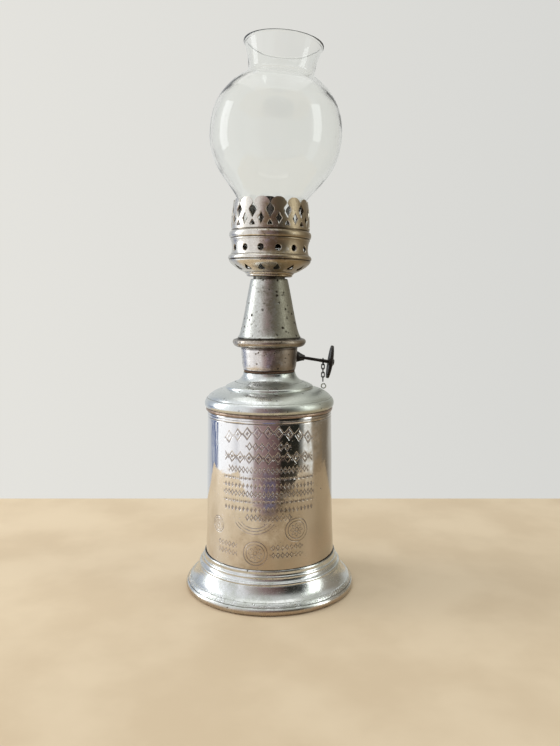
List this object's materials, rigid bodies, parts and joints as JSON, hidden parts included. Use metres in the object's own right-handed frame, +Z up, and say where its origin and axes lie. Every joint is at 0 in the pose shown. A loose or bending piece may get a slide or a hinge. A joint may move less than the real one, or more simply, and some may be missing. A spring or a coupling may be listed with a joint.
{
  "type": "oil lamp",
  "caption": "Small nickelled brass table oil lamp: flared foot, cylindrical reservoir, screw-in round-wick burner with key, pierced gallery and ball chimney.",
  "frame": {"origin": "centre of the foot's resting face", "axes": "+Z up along the reservoir's axis, +X towards the wick key"},
  "size_m": [0.075, 0.075, 0.2352],
  "materials": {
    "nickel": "polished nickel plate, worn",
    "tarnished_nickel": "dull tarnished nickel plate",
    "worn_nickel": "nickel worn to brown metal",
    "brass": "aged brass",
    "copper": "aged copper-brown",
    "dark_steel": "blackened",
    "leather": "oiled washer",
    "felt": "absorbent wadding",
    "cotton": "woven wick, charred at its top",
    "glass": "clear, thin, hand-blown"
  },
  "bodies": {
    "reservoir": {"foot_skirt": "tarnished_nickel", "base_plate": "brass", "reservoir_body": "nickel", "seam_ring": "copper", "shoulder_dome": "tarnished_nickel", "filler_neck": "tarnished_nickel", "wadding": "felt", "gauze_well": "brass", "shoulder_eyelet": "dark_steel"},
    "gasket": {"collar_gasket": "leather"},
    "burner": {"burner_collar": "worn_nickel", "burner_flange": "worn_nickel", "burner_cone": "nickel", "wick_tube": "dark_steel", "tube_washer": "brass", "key_gland": "dark_steel", "gland_packing": "cotton", "spindle_bracket": "brass"},
    "wick_key": {"key_spindle": "dark_steel", "spur_wheel": "brass", "key_knob": "dark_steel", "knob_rivet": "dark_steel"},
    "wick": {"wick": "cotton"},
    "gallery": {"gallery_neck_ring": "nickel", "gallery_bowl": "nickel", "gallery_crown": "nickel"},
    "chimney": {"chimney_glass": "glass"},
    "chain_ring": {"chain_ring": "dark_steel"},
    "chain_link_1": {"chain_link_1": "dark_steel"},
    "chain_link_2": {"chain_link_2": "dark_steel"},
    "chain_link_3": {"chain_link_3": "dark_steel"},
    "chain_link_4": {"chain_link_4": "dark_steel"}
  },
  "joints": [
    {"name": "burner_rise", "type": "slide", "parent": "reservoir", "child": "gasket", "axis": [0, 0, 1], "range_m": [0, 0.0045]},
    {"name": "burner_unscrew", "type": "hinge", "parent": "gasket", "child": "burner", "pos_m": [0, 0, 0.0965], "axis": [0, 0, 1], "range_deg": [0, 1080]},
    {"name": "key_turn", "type": "hinge", "parent": "burner", "child": "wick_key", "pos_m": [0.0274, 0.0057, 0.0993], "axis": [-0.9877, 0, 0.1564], "range_deg": [-150, 90]},
    {"name": "wick_lift", "type": "slide", "parent": "burner", "child": "wick", "axis": [0, 0, 1], "range_m": [-0.0061, 0.0036]},
    {"name": "gallery_lift", "type": "slide", "parent": "burner", "child": "gallery", "axis": [0.0227, 0, 0.9997], "range_m": [0, 0.04]},
    {"name": "chimney_lift", "type": "slide", "parent": "gallery", "child": "chimney", "axis": [0.088, 0, 0.9961], "range_m": [0, 0.045]},
    {"name": "chain_ring_swing", "type": "hinge", "parent": "burner", "child": "chain_ring", "pos_m": [0.024, 0.0057, 0.09984], "axis": [0.9877, 0, -0.1564], "range_deg": [-15, 15]},
    {"name": "chain_link_1_swing", "type": "hinge", "parent": "chain_ring", "child": "chain_link_1", "pos_m": [0.024, 0.0057, 0.09789], "axis": [0, 1, 0], "range_deg": [-2, 8]},
    {"name": "chain_link_2_swing", "type": "hinge", "parent": "chain_link_1", "child": "chain_link_2", "pos_m": [0.024, 0.0057, 0.09604], "axis": [1, 0, 0], "range_deg": [-8, 8]},
    {"name": "chain_link_3_swing", "type": "hinge", "parent": "chain_link_2", "child": "chain_link_3", "pos_m": [0.024, 0.0057, 0.0942], "axis": [0, 1, 0], "range_deg": [-2, 8]},
    {"name": "chain_link_4_swing", "type": "hinge", "parent": "chain_link_3", "child": "chain_link_4", "pos_m": [0.024, 0.0057, 0.09236], "axis": [1, 0, 0], "range_deg": [-8, 8]}
  ],
  "couplings": [
    {"joint": "burner_rise", "follows": "burner_unscrew", "m_per_rad": 0.00023873},
    {"joint": "key_turn", "follows": "wick_lift", "rad_per_m": 425.53}
  ]
}
